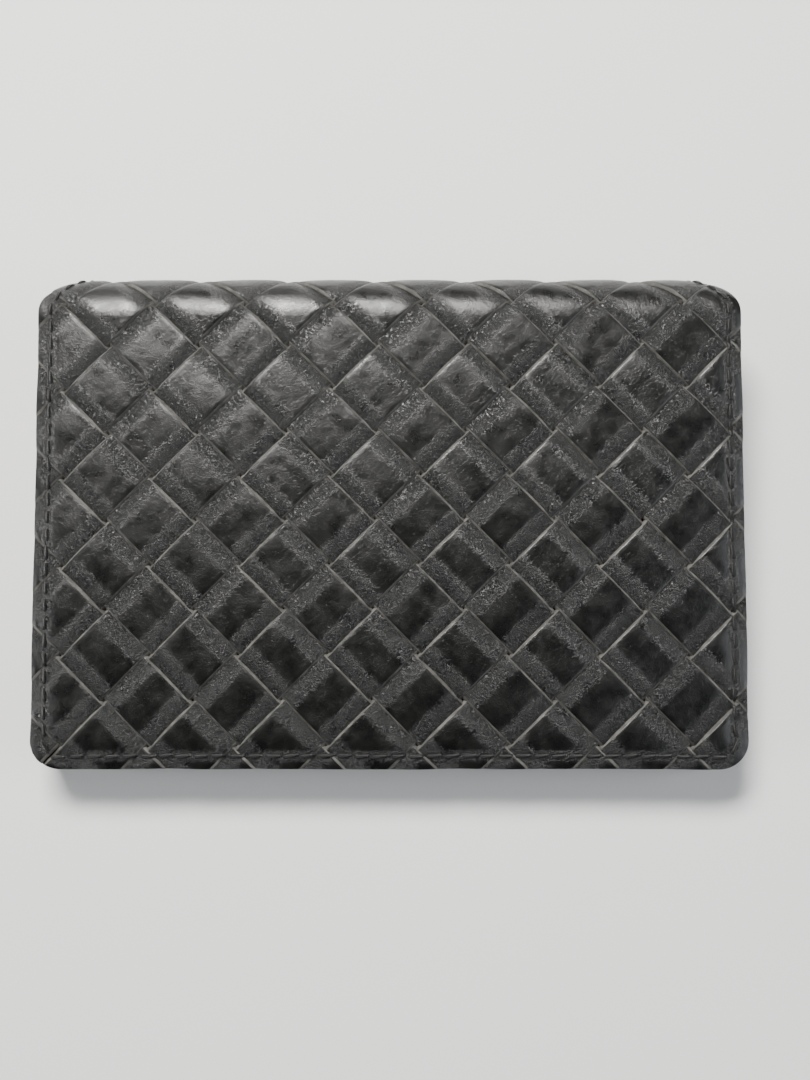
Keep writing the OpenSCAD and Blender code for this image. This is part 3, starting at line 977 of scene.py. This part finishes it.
def make_pocket_hem():
    """The pocket's lower end: it runs down onto the lining and is sewn to the open edge."""
    s0, s1 = Y_OPEN - APEX[1] + 0.15, 5.0
    us = np.unique(np.concatenate([fine_lines(-POCKET_HW - 0.3, POCKET_HW + 0.3, 1.5)]))
    ss = np.linspace(s0 - 0.1, s1, 26)
    flat = Flat.grid(us, ss)
    u, r = flat.data.T
    side = np.abs(u) - POCKET_HW + 0.05 * wobble(r, 31, 6.0)
    flat = flat.keep(np.maximum(side, outline(u, Y_AXIS + V_BACK - APEX[1] - r, 0.1)))
    u, r = flat.data.T
    side = POCKET_HW - np.abs(u)
    w = smooth(r, -1.6, 4.2)[:, None]
    roll = 0.16 * (1 - smooth(np.minimum(side, r - s0), 0, 0.45))
    seam = 0.10 * np.exp(-((r - s0 - SEAM_IN + 0.1) / 0.6) ** 2)
    flat_top = np.column_stack([u, APEX[1] + r, PANEL_T + 1.36 - roll - seam])
    flat_low = np.column_stack([u, APEX[1] + r, np.full(len(u), PANEL_T + 0.03)])
    top = flat_top * (1 - w) + on_pocket(u, r, 2.33 - roll) * w
    low = flat_low * (1 - w) + on_pocket(u, r, np.full(len(u), 0.27)) * w
    out = Builder()
    wrinkle = np.column_stack([0.6 * np.exp(-((r - 0.6) / 2.2) ** 2) + 0.3, r])
    uv = np.column_stack([u, r])
    out.add(top, uv, flat.faces, 0, wrinkle)
    out.add(low, uv, [f[::-1] for f in flat.faces], 0, wrinkle)
    n = len(u)
    quads = [(k + n, k, m, m + n)[::-1] for k, m in flat.rim()
             if not (flat.data[k][1] > s1 - 0.01 and flat.data[m][1] > s1 - 0.01)]
    out.add(np.concatenate([top, low]), np.concatenate([uv, uv + [0, 1]]), quads, 1)
    obj = out.build("pocket_hem_look", [POCKET, PAINT])
    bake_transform(obj)
    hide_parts("pocket_bottom_band")


def gusset_lines(r):
    """Cross-section lines of a right gusset at distance r from its apex, in order from the rear
    flange over the crease to the front hinge line: each is (x, y, z)."""
    a = math.radians(POCKET_A)
    cos_b, tan_b = math.cos(math.radians(GUSSET_A)), math.tan(math.radians(GUSSET_A))
    m = cos_b / math.cos(a / 2)
    crease = np.array([-math.sqrt(1 - m * m), m * math.cos(a / 2), m * math.sin(a / 2)])
    apex = np.array([HINGE_X, APEX[1], APEX[2]])
    rear = apex + np.array([0, 1, 0]) * r
    fold = apex + crease * r / cos_b
    front = apex + np.array([0, math.cos(a), math.sin(a)]) * r
    return rear, fold, front


def ribbon(name, rows, uvs, worn, thick):
    """A thin sheet through rows of points, given its thickness along its normals."""
    rows = np.asarray(rows)
    d0 = np.gradient(rows, axis=0)
    d1 = np.gradient(rows, axis=1)
    normal = np.cross(d0, d1)
    normal /= np.linalg.norm(normal, axis=-1, keepdims=True)
    nr, nc = rows.shape[:2]
    out = Builder()
    faces = [(i * nc + j, (i + 1) * nc + j, (i + 1) * nc + j + 1, i * nc + j + 1)
             for i in range(nr - 1) for j in range(nc - 1)]
    uv, w = np.asarray(uvs).reshape(-1, 2), np.asarray(worn).reshape(-1, 2)
    hi = (rows + normal * thick / 2).reshape(-1, 3)
    lo = (rows - normal * thick / 2).reshape(-1, 3)
    out.add(hi, uv, faces, 0, w)
    out.add(lo, uv, [f[::-1] for f in faces], 0, w)
    n = nr * nc
    rim = [(i, i + 1) for i in range(nc - 1)]
    rim += [(n - nc + i + 1, n - nc + i) for i in range(nc - 1)]
    quads = [(k, m, m + n, k + n) for k, m in rim]
    out.add(np.concatenate([hi, lo]), np.concatenate([uv, uv + [0, 0.5]]), quads, 1)
    return out.build(name, [POCKET, PAINT])


def make_gusset(side, word):
    """One side gusset in four pieces: rear flange to mid leaf, over the crease, to the front hinge
    line, and the front flange."""
    rs = np.concatenate([np.linspace(6.0, POCKET_LEN - 1.2, 60), [POCKET_LEN - 0.9, POCKET_LEN - 0.7]])
    parts = {"rear": [], "crease": [], "front": [], "flange": []}
    maps = {k: [] for k in parts}
    bends = {k: [] for k in parts}
    a = math.radians(POCKET_A)
    up = np.array([0, -math.sin(a), math.cos(a)])
    for r in rs:
        rear, fold, front = gusset_lines(r)
        wave = 0.05 * math.sin(r * 0.9) + 0.03 * math.sin(r * 2.3 + 1)
        flange = [np.array([HINGE_X + x, rear[1], PANEL_T + GUSSET_T / 2 + 0.01])
                  for x in np.linspace(2.7, 0.5, 8)]
        turn = [rear + (fold - rear) * t + np.array([0, 0, -0.04]) * (1 - t * 8) for t in (0.03, 0.08, 0.14)]
        leaf = [rear + (fold - rear) * t for t in np.linspace(0.2, 0.5, 7)]
        size = np.linalg.norm(fold - rear)
        row = flange + turn + leaf
        parts["rear"].append(row)
        half = min(0.30, 0.25 * size) / size
        low = [rear + (fold - rear) * t for t in np.linspace(0.5, 1 - half * 2, 8)]
        high = [front + (fold - front) * t for t in np.linspace(1 - half * 2, 0.5, 8)]
        p0, p2 = low[-1], high[0]
        tip = fold + (fold - (p0 + p2) / 2) * 0.0
        arc = [p0 * (1 - t) ** 2 + 2 * tip * t * (1 - t) + p2 * t * t for t in np.linspace(0, 1, 9)[1:-1]]
        parts["crease"].append(low + arc + high)
        parts["front"].append([front + (fold - front) * t for t in np.linspace(0.5, 0.035, 9)])
        parts["flange"].append([front + np.array([x, 0, 0]) + up * 0.03 for x in np.linspace(0.1, 2.4, 8)])
        for k in parts:
            n = len(parts[k][-1])
            maps[k].append([(r, j * 0.9 + wave) for j in range(n)])
            peak = np.linspace(-1, 1, n)
            b = np.exp(-(peak / 0.35) ** 2) if k in ("crease", "rear") else np.full(n, 0.25)
            bends[k].append(np.column_stack([b, b]))
    for k, rows in parts.items():
        rows = np.array(rows) * (side, 1, 1)
        if side < 0:
            rows, uv, w = rows[:, ::-1], np.array(maps[k])[:, ::-1], np.array(bends[k])[:, ::-1]
        else:
            uv, w = np.array(maps[k]), np.array(bends[k])
        obj = ribbon(f"{word}_gusset_{k}_look", rows, uv, w, GUSSET_T)
        if k == "rear":
            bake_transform(obj)
            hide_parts(f"{word}_gusset_rear_flange", f"{word}_gusset_rear_leaf")
        elif k == "crease":
            n = np.array([0, -math.sin(a / 2), math.cos(a / 2)])
            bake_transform(obj)
        elif k == "front":
            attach(obj, f"{word}_front_leaf")
            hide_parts(f"{word}_gusset_front_leaf")
        else:
            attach(obj, "pocket_front_panel")
            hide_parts(f"{word}_gusset_front_flange")


def make_pocket_stitches():
    """Side and mouth rows on the pocket front, the card slot and the slip pocket."""
    def row(out, place, a, b, base, nodes_tilt=6):
        a, b = np.array(a, float), np.array(b, float)
        length = np.linalg.norm(b - a)
        n = int(length / STITCH_PITCH)
        for i in range(n):
            at = a + (b - a) * (i + 0.5) / n
            stitch(out, place, at, (b - a) / length, 2.35 + rng.normal(0, 0.05), lambda u, v: base + 0 * u,
                   math.radians(nodes_tilt + rng.normal(0, 2)))

    x = POCKET_HW - SEAM_IN
    sides, mouth, slot = Builder(), Builder(), Builder()
    for s in (-1, 1):
        row(sides, on_pocket, (s * x, SLOT_LEN + 0.8), (s * x, POCKET_LEN - 3), 1.70)
        row(sides, on_pocket, (s * x, 5.2), (s * x, SLOT_LEN - 2.6), 2.38)
        row(mouth, on_pocket, (s * (POCKET_HW - 3), POCKET_LEN - 2.2), (s * 14.2, POCKET_LEN - 2.2), 1.70)
        row(slot, on_pocket, (s * (POCKET_HW - 3), SLOT_LEN - 2.0), (s * 14.2, SLOT_LEN - 2.0), 2.38)
    slip = Builder()
    v = V_OPEN + SLIP_DEPTH - 2.0
    for s in (-1, 1):
        row(slip, lambda u, w, h: wrap(u, w, -h), (s * (HALF_W - 4), v), (s * 14.2, v), PANEL_T + POCKET_T + 0.05)
    for out, name, body in ((sides, "pocket_side_stitches", "pocket_front_panel"),
                            (mouth, "pocket_mouth_stitches", "pocket_front_panel"),
                            (slot, "card_slot_stitches", "pocket_front_panel"),
                            (slip, "slip_pocket_mouth_stitches", "front_cover")):
        obj = out.build(name + "_look", [THREAD])
        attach(obj, body)
        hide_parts(name)


# ---- Studio ------------------------------------------------------------------

def area_light(name, place, target, size, power, colour=(1, 1, 1)):
    light = bpy.data.lights.new(name, "AREA")
    light.shape, light.size, light.size_y = "RECTANGLE", size[0], size[1]
    light.energy, light.color = power, colour
    obj = bpy.data.objects.new(name, light)
    bpy.context.scene.collection.objects.link(obj)
    obj.location = place
    obj.rotation_mode = "QUATERNION"
    obj.rotation_quaternion = (Vector(target) - Vector(place)).to_track_quat("-Z", "Y")
    return obj


def make_studio():
    mesh = bpy.data.meshes.new("floor")
    s = 3.0
    mesh.from_pydata([(-s, -s, 0), (s, -s, 0), (s, s, 0), (-s, s, 0)], [], [(0, 1, 2, 3)])
    floor = bpy.data.objects.new("floor", mesh)
    mesh.materials.append(floor_look("pale_floor"))
    bpy.context.scene.collection.objects.link(floor)
    floor.location.z = cad_low[2] - 0.0001
    world = bpy.data.worlds.new("studio")
    world.use_nodes = True
    world.node_tree.nodes["Background"].inputs[0].default_value = (0.85, 0.92, 1.0, 1)
    world.node_tree.nodes["Background"].inputs[1].default_value = 0.06
    bpy.context.scene.world = world
    area_light("key", (-0.13, 0.38, 0.52), (0, 0.01, 0), (0.30, 0.18), 11.0, (1.0, 0.985, 0.95))
    area_light("fill", (0.60, -0.10, 0.38), (0, 0, 0), (0.5, 0.5), 3.0, (0.93, 0.96, 1.0))
    area_light("side", (-0.65, -0.10, 0.25), (0, 0, 0), (0.3, 0.5), 3.0)


# Camera: nearly straight down, tilted so that the open edge is a little nearer.
CAM_DIST = 180.0
CAM_TILT = 8.5
CAM_LENS = 38.8
CAM_TARGET = (2.4, -3.9, 11.0)
CAM_ROLL = 0.0


def make_camera():
    data = bpy.data.cameras.new("camera")
    data.lens, data.sensor_width = CAM_LENS, 36.0
    data.clip_start, data.clip_end = 0.01, 10
    cam = bpy.data.objects.new("camera", data)
    bpy.context.scene.collection.objects.link(cam)
    t = math.radians(CAM_TILT)
    target = Vector(CAM_TARGET)
    cam.location = (target + Vector((0, -math.sin(t), math.cos(t))) * CAM_DIST) * MM
    cam.rotation_mode = "XYZ"
    cam.rotation_euler = (t, 0, math.radians(CAM_ROLL))
    bpy.context.scene.camera = cam


make_weave()
make_sheets()
make_edges()
make_seams()
make_slip_pocket()
make_card_pocket()
make_pocket_hem()
make_gusset(1, "right")
make_gusset(-1, "left")
make_pocket_stitches()
make_studio()
make_camera()
